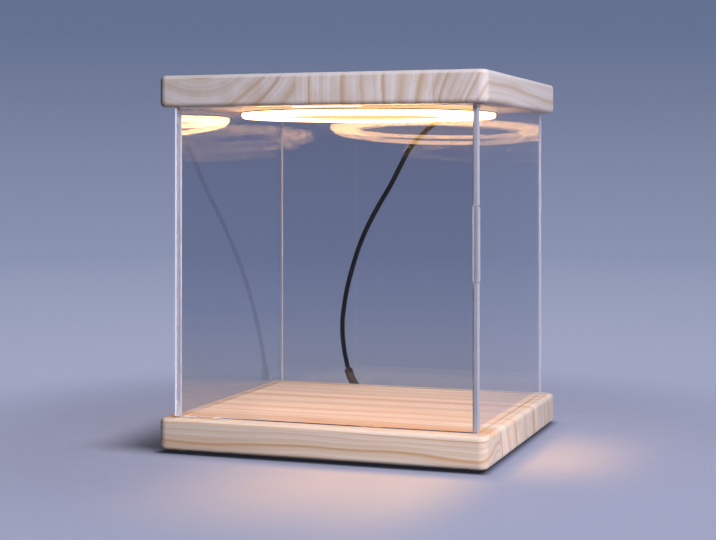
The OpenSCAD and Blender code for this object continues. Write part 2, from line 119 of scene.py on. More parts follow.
def ramp(tree, value, stops):
    made = addNode(tree, "ValToRGB", {"Fac": value})
    points = made.color_ramp.elements
    while len(points) < len(stops):
        points.new(0.5)
    for point, (stop, colour) in zip(points, stops):
        point.position = stop
        point.color = colour
    return made.outputs[0]


def newGroup(name, inputs, outputs):
    tree = bpy.data.node_groups.new(name, "ShaderNodeTree")
    for label, kind, value in inputs:
        socket = tree.interface.new_socket(label, in_out="INPUT", socket_type="NodeSocket" + kind)
        socket.default_value = value
    for label, kind in outputs:
        tree.interface.new_socket(label, in_out="OUTPUT", socket_type="NodeSocket" + kind)
    return tree, tree.nodes.new("NodeGroupInput").outputs, tree.nodes.new("NodeGroupOutput").inputs


def useGroup(tree, group, feeds):
    made = addNode(tree, "Group", node_tree=group)
    for key, value in feeds.items():
        if isinstance(value, bpy.types.NodeSocket):
            tree.links.new(value, made.inputs[key])
        else:
            made.inputs[key].default_value = value
    return made.outputs


def newMaterial(name, **plain):
    mat = bpy.data.materials.new(name)
    mat.use_nodes = True
    tree = mat.node_tree
    shader = tree.nodes["Principled BSDF"]
    for key, value in plain.items():
        shader.inputs[key.replace("_", " ")].default_value = value
    return mat, tree, shader


def place(tree):
    return tree.nodes.new("ShaderNodeTexCoord").outputs["Object"]


def addBump(tree, shader, height, depth):
    made = addNode(tree, "Bump", {"Height": height, "Distance": depth, "Strength": 1.0})
    tree.links.new(made.outputs[0], shader.inputs["Normal"])


def setSurface(tree, surface):
    out = next(n for n in tree.nodes if n.type == "OUTPUT_MATERIAL")
    tree.links.new(surface.outputs[0], out.inputs["Surface"])


def wear(nodeName, mat):
    for slot in cadNodes[nodeName].material_slots:
        slot.material = mat


# The lead: black rubber, in two lengths with the switch between them
lead = {
    "diameter": 3.6,
    "lampRoute": [
        (24, 113, 232.5), (24, 117.6, 232.4), (22.9, 122.8, 230.8), (19.6, 127, 226.9),
        (14, 128.6, 221.3), (7.2, 126.8, 215.2), (1, 122.6, 208.3), (-4.8, 118, 200),
        (-11, 116, 188), (-19.3, 115, 172), (-28.2, 114, 157), (-36.4, 113.5, 142),
        (-43.4, 114, 127), (-49.2, 116, 112), (-54.4, 118, 96), (-58.4, 120.5, 80),
        (-61.2, 124, 64), (-62.2, 129, 49), (-61.9, 135.5, 34), (-60.6, 142, 21),
        (-57, 147.5, 12), (-51, 151, 7.5), (-44, 152, 6), (-38, 152, 6)],
    "toCoil": [
        (10, 152, 6), (14, 152, 6), (21, 152.6, 4.8), (29, 154.6, 2.8), (37, 157.4, 1.9),
        (45, 160.2, 1.8), (52.4, 162.2, 1.8), (56.4, 162.2, 1.8)],
    "toPlug": [
        (56.4, 105.8, 5.9), (52.8, 105.8, 5.9), (46, 106.8, 5.5), (39.5, 109.8, 4.9),
        (33.5, 113.8, 4.4), (28, 117.2, 4), (25, 118, 4), (22, 118, 4)],
    "coilCentre": (60, 134),
    "outerRadius": 28.2,
    "pitch": 4.1,
    "turns": 4,  # on the floor, and as many again on top
    "steps": 24,  # points in a turn
    "low": 1.8,
    "high": 5.9,
    "climb": 180,  # degrees in which it goes from the lower layer to the upper
    "dip": 0.6,
}


def coilPoints(s):
    lower = 360 * s["turns"]
    innerRadius = s["outerRadius"] - s["turns"] * s["pitch"]
    last = 2 * lower + s["climb"]
    points = []
    for step in range(1, last * s["steps"] // 360):
        turned = step * 360 / s["steps"]
        if turned < lower:
            radius, height = s["outerRadius"] - s["pitch"] * turned / 360, s["low"]
        elif turned < lower + s["climb"]:
            share = (turned - lower) / s["climb"]
            radius = innerRadius - s["dip"] * math.sin(math.pi * share)
            height = s["low"] + (s["high"] - s["low"]) * share
        else:
            radius = innerRadius + s["pitch"] * (turned - lower - s["climb"]) / 360
            height = s["high"]
        angle = math.radians(turned)
        x, y = s["coilCentre"]
        points.append((x + radius * math.sin(angle), y + radius * math.cos(angle), height))
    return points


def addLead(name, route, diameter):
    curve = bpy.data.curves.new(name, "CURVE")
    curve.dimensions = "3D"
    curve.bevel_depth = 1  # times each point's radius, which keeps the curve's box true
    curve.bevel_resolution = 4
    curve.resolution_u = 4
    curve.use_fill_caps = True
    line = curve.splines.new("BEZIER")
    line.bezier_points.add(len(route) - 1)
    for point, spot in zip(line.bezier_points, route):
        point.co = Vector(spot) * mm
        point.radius = diameter * mm / 2
        point.handle_left_type = point.handle_right_type = "AUTO"
    obj = bpy.data.objects.new(name, curve)
    bpy.context.scene.collection.objects.link(obj)
    return obj


lampSide = addLead("leadToSwitch", lead["lampRoute"], lead["diameter"])
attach(lampSide, "case")
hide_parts("lamp_lead")

plugSideRoute = lead["toCoil"] + coilPoints(lead) + lead["toPlug"]
plugSide = addLead("leadToPlug", plugSideRoute, lead["diameter"])
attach(plugSide, "case")
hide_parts("coil_lead", "lead_coil", "plug_lead")
print("lead laid")


# Shader groups that several materials share
def makePineGroup():
    tree, given, out = newGroup("pineRings", [
        ("Along", "Float", 0.0), ("Across", "Float", 0.0), ("Up", "Float", 0.0),
        ("Pith Across", "Float", 0.0), ("Pith Up", "Float", 0.0), ("Ring Width", "Float", 0.005),
        ("Tone", "Float", 0.5), ("Sway", "Float", 0.016), ("Pale", "Color", srgb(229, 213, 197)),
        ("Dark", "Color", srgb(200, 168, 134)),
    ], [("Color", "Color"), ("Roughness", "Float"), ("Height", "Float")])
    # The board's own wander: slow along the grain, quicker across it
    slow = addNode(tree, "CombineXYZ", {
        0: calc(tree, "MULTIPLY", given["Along"], 5.0),
        1: calc(tree, "MULTIPLY", given["Across"], 26.0),
        2: calc(tree, "MULTIPLY", given["Up"], 26.0),
    }).outputs[0]
    wander = addNode(tree, "TexNoise", {"Vector": slow, "Scale": 1.0, "Detail": 2.0})
    shift = addNode(tree, "SeparateColor", {"Color": wander.outputs["Color"]})
    across = calc(tree, "SUBTRACT", given["Across"], given["Pith Across"])
    across = calc(tree, "ADD", across, calc(tree, "MULTIPLY", calc(
        tree, "SUBTRACT", shift.outputs[0], 0.5), given["Sway"]))
    up = calc(tree, "SUBTRACT", given["Up"], given["Pith Up"])
    up = calc(tree, "ADD", up, calc(tree, "MULTIPLY", calc(
        tree, "SUBTRACT", shift.outputs[1], 0.5), given["Sway"]))
    radius = calc(tree, "SQRT", calc(tree, "ADD", calc(
        tree, "MULTIPLY", across, across), calc(tree, "MULTIPLY", up, up)))
    rings = calc(tree, "DIVIDE", radius, given["Ring Width"])
    # Years differ, so the ring count is bent a little by a slow noise of its own
    years = addNode(tree, "TexNoise", {"W": rings, "Scale": 0.7, "Detail": 1.0},
                    noise_dimensions="1D")
    rings = calc(tree, "ADD", rings, calc(tree, "MULTIPLY", years.outputs[0], 1.3))
    part = calc(tree, "FRACT", rings)
    year = addNode(tree, "TexWhiteNoise", {"W": calc(tree, "FLOOR", rings)},
                   noise_dimensions="1D").outputs[0]
    late = ramp(tree, part, [
        (0.0, (0.55, 0.55, 0.55, 1)), (0.16, (0.06, 0.06, 0.06, 1)), (0.40, (0.05, 0.05, 0.05, 1)),
        (0.66, (0.40, 0.40, 0.40, 1)), (0.86, (1, 1, 1, 1)), (1.0, (0.55, 0.55, 0.55, 1))])
    late = calc(tree, "MULTIPLY", late, span(tree, year, 0, 1, 0.45, 1.0, False))
    # Faint false rings between the years
    minor = calc(tree, "FRACT", calc(tree, "MULTIPLY", rings, 3.3))
    late = calc(tree, "MAXIMUM", late, span(tree, minor, 0.35, 1.0, 0.0, 0.32))
    # Long thin fibres, and a broad drift of tone
    fibreSpot = addNode(tree, "CombineXYZ", {
        0: calc(tree, "MULTIPLY", given["Along"], 34.0),
        1: calc(tree, "MULTIPLY", given["Across"], 1500.0),
        2: calc(tree, "MULTIPLY", given["Up"], 1500.0),
    }).outputs[0]
    fibre = addNode(tree, "TexNoise", {"Vector": fibreSpot, "Scale": 1.0, "Detail": 3.0}).outputs[0]
    driftSpot = addNode(tree, "CombineXYZ", {
        0: calc(tree, "MULTIPLY", given["Along"], 7.0),
        1: calc(tree, "MULTIPLY", given["Across"], 60.0),
        2: calc(tree, "MULTIPLY", given["Up"], 60.0),
    }).outputs[0]
    drift = addNode(tree, "TexNoise", {"Vector": driftSpot, "Scale": 1.0, "Detail": 2.0}).outputs[0]
    colour = mixColour(tree, late, given["Pale"], given["Dark"])
    colour = mixColour(tree, span(tree, drift, 0.35, 0.75, 0.0, 0.35), colour, given["Dark"])
    tone = addNode(tree, "HueSaturation", {
        "Color": colour,
        "Value": calc(tree, "MULTIPLY",
                      span(tree, fibre, 0.25, 0.75, 0.93, 1.04, False),
                      span(tree, given["Tone"], 0, 1, 0.80, 1.20, False)),
    }).outputs[0]
    tree.links.new(tone, out["Color"])
    tree.links.new(span(tree, late, 0, 1, 0.50, 0.40, False), out["Roughness"])
    height = calc(tree, "ADD", calc(tree, "MULTIPLY", late, 0.6),
                  calc(tree, "MULTIPLY", fibre, 0.4))
    tree.links.new(height, out["Height"])
    return tree


def makeMouldedGroup():
    tree, given, out = newGroup("mouldedSkin", [
        ("Color", "Color", (0.02, 0.02, 0.02, 1)), ("Grain", "Float", 2500.0),
        ("Roughness", "Float", 0.45), ("Dust", "Float", 0.15),
    ], [("Color", "Color"), ("Roughness", "Float"), ("Height", "Float")])
    spot = place(tree)
    grain = addNode(tree, "TexNoise", {"Vector": spot, "Scale": given["Grain"], "Detail": 2.0}).outputs[0]
    smear = addNode(tree, "TexNoise", {"Vector": spot, "Scale": 70.0, "Detail": 4.0}).outputs[0]
    dusty = calc(tree, "MULTIPLY", span(tree, smear, 0.5, 0.72), given["Dust"])
    tree.links.new(mixColour(tree, dusty, given["Color"], (0.42, 0.41, 0.40, 1)), out["Color"])
    rough = calc(tree, "ADD", given["Roughness"], span(tree, smear, 0.3, 0.7, -0.06, 0.10))
    tree.links.new(rough, out["Roughness"])
    tree.links.new(grain, out["Height"])
    return tree


def makeTurnedGroup():
    tree, given, out = newGroup("turnedMetal", [
        ("Color", "Color", (0.6, 0.6, 0.6, 1)), ("Roughness", "Float", 0.3),
        ("Scratches", "Float", 0.5),
    ], [("Color", "Color"), ("Roughness", "Float"), ("Height", "Float")])
    spot = place(tree)
    fine = addNode(tree, "Mapping", {"Vector": spot, "Scale": (900, 900, 6000)}).outputs[0]
    lines = addNode(tree, "TexNoise", {"Vector": fine, "Scale": 1.0, "Detail": 2.0}).outputs[0]
    stain = addNode(tree, "TexNoise", {"Vector": spot, "Scale": 120.0, "Detail": 3.0}).outputs[0]
    dark = mixColour(tree, 0.35, given["Color"], (0.05, 0.05, 0.05, 1))
    tree.links.new(mixColour(tree, span(tree, stain, 0.45, 0.8, 0, 0.6), given["Color"], dark),
                   out["Color"])
    rough = calc(tree, "ADD", given["Roughness"],
                 calc(tree, "MULTIPLY", span(tree, lines, 0.3, 0.7, -0.1, 0.15), given["Scratches"]))
    tree.links.new(rough, out["Roughness"])
    tree.links.new(lines, out["Height"])
    return tree


pineGroup = makePineGroup()
mouldedGroup = makeMouldedGroup()
turnedGroup = makeTurnedGroup()


def finishWith(name, group, feeds, depth, **plain):
    mat, tree, shader = newMaterial(name, **plain)
    made = useGroup(tree, group, feeds)
    tree.links.new(made["Color"], shader.inputs["Base Color"])
    tree.links.new(made["Roughness"], shader.inputs["Roughness"])
    addBump(tree, shader, made["Height"], depth)
    return mat


# The boards: solid pine, glued up from staves. Each stave has its own heart, outside the board.
# A stave is (where it starts, heart across, heart up, tone, ring width), in mm, with up from the
# board's middle.
baseWood = {
    "grain": "x",
    "middle": 12.45,
    "pale": srgb(243, 227, 215),
    "dark": srgb(208, 158, 104),
    "sway": 0.016,
    "coat": 0.6,
    "staves": [
        (-99, -70, -92, 0.50, 5.4), (-66, -330, -110, 0.86, 19.0), (-10, -260, -95, 0.50, 23.0),
        (45, -340, -130, 0.18, 20.0)],
    # A streak along the top: from, to and how strong. On the base it is a painted reflection of the lamp,
    # on the lid a resin streak
    "resinAndReflection": (-97, -60, 0.75),
    "resinAndReflectionColour": srgb(240, 176, 106),
    "paintedSheen": 0.3,  # how much paler the rounded top edge is painted, a painted sheen
    "spillStrength": 0.0,
}
lidWood = {
    "grain": "y",
    "middle": 234.95,
    # Painted shade: the lid's pale and dark are darker and cooler than the base's, for the light that
    # falls on it
    "pale": srgb(224, 216, 217),
    "dark": srgb(190, 157, 126),
    "sway": 0.009,
    "coat": 0.2,
    "staves": [
        (-110, -82, 44, 0.46, 11.0), (-14, 232, -22, 0.66, 12.5), (76, 158, -26, 0.40, 6.0)],
    "resinAndReflection": (20, 70, 0.25),
    "resinAndReflectionColour": srgb(214, 178, 140),
    "paintedSheen": 0.7,
    "spillStrength": 0.50,
}
glue = {"width": 0.12, "colour": srgb(168, 128, 88), "strength": 0.5}
# Light that leaks from the lamp over the lid's underside, and the radii over which it fades
lidSpill = {"colour": (1.0, 0.50, 0.20, 1), "from": 80, "to": 118}


def pickStave(tree, across, wood):
    # Each point takes the values of the last stave that starts before it
    scales = (mm, mm, 1, mm)
    chosen = [value * scale for value, scale in zip(wood["staves"][0][1:], scales)]
    seam = None
    for start, *stave in wood["staves"][1:]:
        past = calc(tree, "GREATER_THAN", across, start * mm)
        for i, scale in enumerate(scales):
            gap = calc(tree, "SUBTRACT", stave[i] * scale, chosen[i])
            chosen[i] = calc(tree, "MULTIPLY_ADD", past, gap, chosen[i])
        near = calc(tree, "ABSOLUTE", calc(tree, "SUBTRACT", across, start * mm))
        line = calc(tree, "LESS_THAN", near, glue["width"] * mm)
        seam = line if seam is None else calc(tree, "MAXIMUM", seam, line)
    return chosen, calc(tree, "MULTIPLY", seam, glue["strength"])


def resinAndReflectionStreak(tree, across, along, up, wood):
    # On the base this is a painted reflection of the lamp; on the lid it is resin
    first, last, strength = wood["resinAndReflection"]
    middle = (first + last) / 2 * mm
    streak = calc(tree, "MULTIPLY", span(tree, across, first * mm, middle),
                  span(tree, across, middle, last * mm, strength, 0))
    blot = addNode(tree, "TexNoise", {"W": along, "Scale": 7.0, "Detail": 1.0},
                   noise_dimensions="1D").outputs[0]
    streak = calc(tree, "MULTIPLY", streak, span(tree, blot, 0.2, 0.6, 0.35, 1.0))
    # Only in the top few millimetres
    return calc(tree, "MULTIPLY", streak, span(tree, up, 0.006, 0.0095))


def lampSpill(tree, spot, facing, wood):
    radius = calc(tree, "SQRT", calc(tree, "ADD", calc(
        tree, "MULTIPLY", spot[0], spot[0]), calc(tree, "MULTIPLY", spot[1], spot[1])))
    nearLamp = span(
        tree, radius, lidSpill["from"] * mm, lidSpill["to"] * mm, wood["spillStrength"], 0)
    return calc(tree, "MULTIPLY", nearLamp, span(tree, facing, -0.9, -0.99))


def boardWood(name, wood):
    mat, tree, shader = newMaterial(
        name, Coat_Weight=wood["coat"], Coat_Roughness=0.5, Emission_Color=lidSpill["colour"])
    spot = addNode(tree, "SeparateXYZ", {0: place(tree)}).outputs
    along, across = (spot[0], spot[1]) if wood["grain"] == "x" else (spot[1], spot[0])
    up = calc(tree, "SUBTRACT", spot[2], wood["middle"] * mm)
    (pithAcross, pithUp, tone, ringWidth), seam = pickStave(tree, across, wood)
    # Each stave is a different length of the tree, so its pattern is slid along the grain
    along = calc(tree, "MULTIPLY_ADD", tone, 3.7, along)
    made = useGroup(tree, pineGroup, {
        "Along": along, "Across": across, "Up": up, "Pith Across": pithAcross,
        "Pith Up": pithUp, "Tone": tone, "Ring Width": ringWidth,
        "Sway": wood["sway"], "Pale": wood["pale"], "Dark": wood["dark"]})
    colour = mixColour(
        tree, resinAndReflectionStreak(tree, across, along, up, wood), made["Color"], wood["resinAndReflectionColour"])
    colour = mixColour(tree, seam, colour, glue["colour"])
    # How far each point faces up, for the painted sheen on the rounded top edge and for the lamp's light
    # on the underside
    facing = addNode(tree, "SeparateXYZ", {
        0: tree.nodes.new("ShaderNodeNewGeometry").outputs["Normal"]}).outputs[2]
    # Painted sheen: the rounded top edge is mixed toward the pale colour, for the light it catches
    paintedSheen = calc(tree, "MULTIPLY", span(tree, facing, 0.12, 0.35),
                  span(tree, facing, 0.95, 0.995, wood["paintedSheen"], 0))
    colour = mixColour(tree, paintedSheen, colour, wood["pale"])
    tree.links.new(colour, shader.inputs["Base Color"])
    tree.links.new(made["Roughness"], shader.inputs["Roughness"])
    tree.links.new(lampSpill(tree, spot, facing, wood), shader.inputs["Emission Strength"])
    addBump(tree, shader, made["Height"], 0.00006)
    return mat


wear("base_board", boardWood("pineAlongX", baseWood))
wear("lid_board", boardWood("pineAlongY", lidWood))
print("boards finished")


# Clear sheet: panels, door and pull. Faces are clear, edges are polished, arrises carry a painted
# highlight.
sheetLook = {
    "tint": (0.90, 0.90, 0.915, 1),
    "edgeTint": (0.80, 0.80, 0.96, 1),
    "edgeClear": 0.40,
    "shadowTint": (0.93, 0.93, 0.93, 1),
    "bend": 1.54,
    "wave": 0.0000015,  # how much the faces waver, in metres
    # colour of the painted highlight on the arrises
    "arris": (0.93, 0.90, 0.96),
    "arrisGlow": (0.90, 0.90, 1.0, 1),  # painted light, for what the sheet pipes out at its arrises
}


def letLampsThrough(tree, shader):
    # Lamps shine straight through the sheet, for direct light and for light that bounced
    path = addNode(tree, "LightPath").outputs
    through = calc(tree, "MAXIMUM", path["Is Shadow Ray"], path["Is Diffuse Ray"])
    hole = addNode(tree, "BsdfTransparent", {"Color": sheetLook["shadowTint"]})
    both = addNode(tree, "MixShader", {0: through, 1: shader.outputs[0], 2: hole.outputs[0]})
    setSurface(tree, both)


def clearFace(name, thin, lean):
    mat, tree, shader = newMaterial(
        name + "Face", Base_Color=sheetLook["tint"], Roughness=0.0,
        IOR=sheetLook["bend"], Transmission_Weight=1.0)
    spot = place(tree)
    wave = addNode(tree, "TexNoise", {"Vector": spot, "Scale": 9.0, "Detail": 1.0}).outputs[0]
    axes = addNode(tree, "SeparateXYZ", {0: spot}).outputs
    height = calc(tree, "MULTIPLY", wave, sheetLook["wave"])
    height = calc(tree, "MULTIPLY_ADD", axes[1 - thin], lean[0], height)
    height = calc(tree, "MULTIPLY_ADD", axes[2], -lean[1], height)
    addBump(tree, shader, height, 1.0)
    letLampsThrough(tree, shader)
    return mat


def clearEdge():
    mat, tree, shader = newMaterial(
        "clearSheetEdge", Base_Color=sheetLook["edgeTint"], IOR=sheetLook["bend"],
        Transmission_Weight=sheetLook["edgeClear"])
    stroke = addNode(tree, "Mapping", {"Vector": place(tree), "Scale": (1800, 1800, 40)}).outputs[0]
    lines = addNode(tree, "TexNoise", {"Vector": stroke, "Scale": 1.0, "Detail": 2.0}).outputs[0]
    tree.links.new(span(tree, lines, 0.3, 0.7, 0.04, 0.16), shader.inputs["Roughness"])
    addBump(tree, shader, lines, 0.00001)
    letLampsThrough(tree, shader)
    return mat


def brightArris(name, tone, glow):
    # Painted highlight: a pale face with a faint glow, for light caught at the arris
    mat, tree, shader = newMaterial(
        name, Base_Color=(*[tone * part for part in sheetLook["arris"]], 1),
        Specular_IOR_Level=0.6 * tone, Emission_Color=sheetLook["arrisGlow"],
        Emission_Strength=glow)
    spot = place(tree)
    chatter = addNode(tree, "TexNoise", {"Vector": spot, "Scale": 350.0, "Detail": 3.0}).outputs[0]
    tree.links.new(span(tree, chatter, 0.3, 0.7, 0.18, 0.42), shader.inputs["Roughness"])
    addBump(tree, shader, chatter, 0.00003)
    return mat


# thin: axis through the sheet
# brightSide: end along X whose arrises are bright
# arris: its width in mm
# tones: how bright the painted highlight on the arrises is, in front and behind
# air: axis, and gap in mm at its low and at its high end, between two sheets that touch
# lean: how far the sheet's mirror image is turned, sideways and upward, as a slope
clearPieces = {
    "leftSheet": {
        "node": "left_panel", "body": "case", "thin": 0, "brightSide": 1, "arris": 0.6,
        "tones": (0.78, 0.78), "lean": (0.0085, 0.018)},
    "rightSheet": {
        "node": "right_panel", "body": "case", "thin": 0, "brightSide": 1, "arris": 0.9,
        "tones": (0.45, 1.0)},
    "backSheet": {
        "node": "back_panel", "body": "case", "thin": 1, "brightSide": -1, "arris": 0.45,
        "tones": (0.5, 0.4), "air": (0, 0.05, 0.05), "lean": (0, 0.026)},
    "doorSheet": {
        "node": "door_panel", "body": "door", "thin": 1, "brightSide": 1, "arris": 0.5,
        "tones": (0.38, 0.45), "roundEnd": True},
    "pullStrip": {
        "node": "door_pull", "body": "door", "thin": 1, "brightSide": 1, "arris": 0.5,
        "tones": (0.38, 0.45), "air": (1, 0, 0.05)},
}

edgeFinish = clearEdge()
roundEndHighlight = brightArris("doorHingeHighlight", 1.0, 0.66)


def paintSheet(box, bevelled, s):
    # 0 clear, 1 polished edge, 2 and 3 arrises with painted highlight in front and behind, 4 the door's
    # round end with painted highlight
    upright = {f for f in bevelled if abs(f.normal.z) < 0.1}
    for face in box.faces:
        x, y, z = face.normal
        broad = abs(face.normal[s["thin"]]) > 0.9
        face.material_index = 0 if broad or abs(z) > 0.1 else 1
        if face in upright and x * s["brightSide"] > 0.1:
            face.material_index = 2 if y < 0 else 3
        elif s.get("roundEnd") and x < -0.34 and y < -0.2:
            face.material_index = 4


def leaveAir(box, axis, low, high):
    ends = [v.co[axis] for v in box.verts]
    first, last = min(ends), max(ends)
    for vert in box.verts:
        if abs(vert.co[axis] - first) < 1e-6:
            vert.co[axis] += low * mm
        elif abs(vert.co[axis] - last) < 1e-6:
            vert.co[axis] -= high * mm


def sheetPiece(name, s):
    box = bmesh.new()
    box.from_mesh(cadNodes[s["node"]].data)
    bmesh.ops.remove_doubles(box, verts=box.verts, dist=1e-6)
    bmesh.ops.dissolve_limit(
        box, angle_limit=math.radians(1), verts=box.verts, edges=box.edges)
    sharp = [e for e in box.edges if e.calc_face_angle(0) > math.radians(30)]
    cut = bmesh.ops.bevel(
        box, geom=sharp, offset=s["arris"] * mm, offset_type="OFFSET", segments=1, profile=0.5,
        affect="EDGES", clamp_overlap=True, material=-1)
    paintSheet(box, cut["faces"], s)
    if "air" in s:
        leaveAir(box, *s["air"])
    mesh = bpy.data.meshes.new(name)
    box.to_mesh(mesh)
    box.free()
    front, behind = s["tones"]
    for mat in (clearFace(name, s["thin"], s.get("lean", (0, 0))), edgeFinish,
                brightArris(name + "Front", front, 0.0), brightArris(name + "Back", behind, 0.08),
                roundEndHighlight):
        mesh.materials.append(mat)
    obj = bpy.data.objects.new(name, mesh)
    bpy.context.scene.collection.objects.link(obj)
    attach(obj, s["body"])
    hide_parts(s["node"])


for pieceName, pieceSettings in clearPieces.items():
    sheetPiece(pieceName, pieceSettings)
print("clear box made")


# The ring lamp
lamp = {
    "light": (1.0, 0.79, 0.65, 1),  # what it lights the case with
    "lightStrength": 13.0,
    "glow": (1.0, 0.55, 0.21, 1),  # what the eye and the mirroring sheets see
    "glowStrength": 24.0,
    "spill": (1.0, 0.70, 0.36, 1),  # painted lamp light that the tray glows with
    "spillStrength": 0.8,
    "shadeLineTop": 222.9,
    "middleRadius": 75,
}


def opalGlow():
    mat, tree, shader = newMaterial(
        "opalDiffuser", Base_Color=(0.90, 0.88, 0.84, 1), IOR=1.49,
        Emission_Color=lamp["light"], Emission_Strength=lamp["lightStrength"])
    path = addNode(tree, "LightPath").outputs
    seen = calc(tree, "MAXIMUM", path["Is Camera Ray"], calc(
        tree, "MAXIMUM", path["Is Glossy Ray"], path["Is Transmission Ray"]))
    # Each sheet mirrors the others' images as well: from the third mirroring on they fade out
    strength = span(tree, path["Glossy Depth"], 2.0, 3.0, lamp["glowStrength"], 2.0, False)
    glow = addNode(tree, "Emission", {"Color": lamp["glow"], "Strength": strength})
    both = addNode(tree, "MixShader", {0: seen, 1: shader.outputs[0], 2: glow.outputs[0]})
    setSurface(tree, both)
    fog = addNode(tree, "TexNoise", {"Vector": place(tree), "Scale": 900.0, "Detail": 2.0}).outputs[0]
    tree.links.new(span(tree, fog, 0.3, 0.7, 0.42, 0.55), shader.inputs["Roughness"])
    addBump(tree, shader, fog, 0.00002)
    return mat


wear("lamp_diffuser", opalGlow())


def trayPaint():
    # Cream powder coat, with a painted shade line along the lower edge of the outer rim, where the gap to
    # the diffuser falls dark, and painted lamp light glowing over the rest
    mat, tree, shader = newMaterial(
        "trayPaint", Specular_IOR_Level=0.4, Emission_Color=lamp["spill"])
    spot = place(tree)
    skin = useGroup(tree, mouldedGroup, {
        "Color": srgb(238, 212, 162), "Grain": 1800.0, "Roughness": 0.42, "Dust": 0.05})
    flat = addNode(tree, "VectorMath", {0: spot, 1: (1, 1, 0)}, operation="MULTIPLY").outputs[0]
    radius = addNode(tree, "VectorMath", {0: flat}, operation="LENGTH").outputs["Value"]
    height = addNode(tree, "SeparateXYZ", {0: spot}).outputs[2]
    line = calc(tree, "MULTIPLY", calc(tree, "LESS_THAN", height, lamp["shadeLineTop"] * mm),
                calc(tree, "GREATER_THAN", radius, lamp["middleRadius"] * mm))
    # Painted shade line in dark brown; the rest of the tray glows with painted lamp light
    colour = mixColour(tree, line, skin["Color"], srgb(58, 44, 34))
    tree.links.new(colour, shader.inputs["Base Color"])
    tree.links.new(calc(tree, "MULTIPLY", calc(tree, "SUBTRACT", 1.0, line), lamp["spillStrength"]),
                   shader.inputs["Emission Strength"])
    tree.links.new(skin["Roughness"], shader.inputs["Roughness"])
    addBump(tree, shader, skin["Height"], 0.00002)
    return mat


wear("lamp_tray", trayPaint())
wear("led_board", finishWith("boardWhite", mouldedGroup, {
    "Color": srgb(232, 232, 226), "Grain": 900.0, "Roughness": 0.4, "Dust": 0.05}, 0.00001))
wear("led_chips", finishWith("chipPhosphor", mouldedGroup, {
    "Color": srgb(238, 208, 96), "Grain": 3000.0, "Roughness": 0.5, "Dust": 0.02}, 0.00002))
wear("tray_screws", finishWith("screwSteel", turnedGroup, {
    "Color": (0.60, 0.59, 0.57, 1), "Roughness": 0.32}, 0.00001, Metallic=1.0))

# Pivot: steel pins in flanged brass bushes
steel = finishWith("pinSteel", turnedGroup, {
    "Color": (0.86, 0.86, 0.88, 1), "Roughness": 0.36}, 0.00001, Metallic=1.0)
brass = finishWith("bushBrass", turnedGroup, {
    "Color": (0.72, 0.52, 0.22, 1), "Roughness": 0.28}, 0.00001, Metallic=1.0)
for end in ("top", "bottom"):
    wear("pivot_pin_" + end, steel)
    wear("pivot_bush_" + end, brass)


# Rubber and moulded plastic on the lead
def leadRubber(name, pale):
    black = 0.006 * pale
    return finishWith(name, mouldedGroup, {
        "Color": (black, black, black, 1), "Grain": 1600.0, "Roughness": 0.45, "Dust": 0.01},
        0.00002, Specular_IOR_Level=0.15)


rubber = leadRubber("leadRubber", 1.0)
for cordPiece in (lampSide, plugSide):
    cordPiece.data.materials.append(rubber)
wear("lead_gland", leadRubber("glandRubber", 1.3))
wear("lead_tail", rubber)
wear("lead_sleeve", leadRubber("sleeveRubber", 0.5))
caseBlack = finishWith("switchPlastic", mouldedGroup, {
    "Color": srgb(36, 36, 38), "Grain": 2600.0, "Roughness": 0.46, "Dust": 0.12}, 0.00004)
for shell in ("switch_lower", "switch_upper", "plug_body"):
    wear(shell, caseBlack)
wear("switch_button", finishWith("buttonPlastic", mouldedGroup, {
    "Color": srgb(122, 30, 30), "Grain": 2600.0, "Roughness": 0.34, "Dust": 0.08}, 0.00002))
wear("switch_board", finishWith("boardGreen", mouldedGroup, {
    "Color": srgb(28, 96, 58), "Grain": 1200.0, "Roughness": 0.38, "Dust": 0.04}, 0.00001))
wear("switch_screws", finishWith("smallScrewSteel", turnedGroup, {
    "Color": (0.55, 0.55, 0.56, 1), "Roughness": 0.3}, 0.00001, Metallic=1.0))
wear("plug_shell", finishWith("plugMetal", turnedGroup, {
    "Color": (0.74, 0.74, 0.75, 1), "Roughness": 0.2}, 0.00001, Metallic=1.0))
wear("plug_tongue", finishWith("tonguePlastic", mouldedGroup, {
    "Color": srgb(226, 226, 222), "Grain": 2000.0, "Roughness": 0.4, "Dust": 0.03}, 0.00001))


# Feet: clear silicone
def clearSilicone():
    mat, tree, shader = newMaterial(
        "footSilicone", Base_Color=(0.80, 0.82, 0.86, 1), IOR=1.41, Transmission_Weight=0.7)
    haze = addNode(tree, "TexNoise", {"Vector": place(tree), "Scale": 1500.0, "Detail": 2.0}).outputs[0]
    tree.links.new(span(tree, haze, 0.3, 0.7, 0.22, 0.4), shader.inputs["Roughness"])
    addBump(tree, shader, haze, 0.00003)
    return mat


silicone = clearSilicone()
for foot in ("front_left", "front_right", "back_left", "back_right"):
    wear("foot_" + foot, silicone)
print("small parts finished")


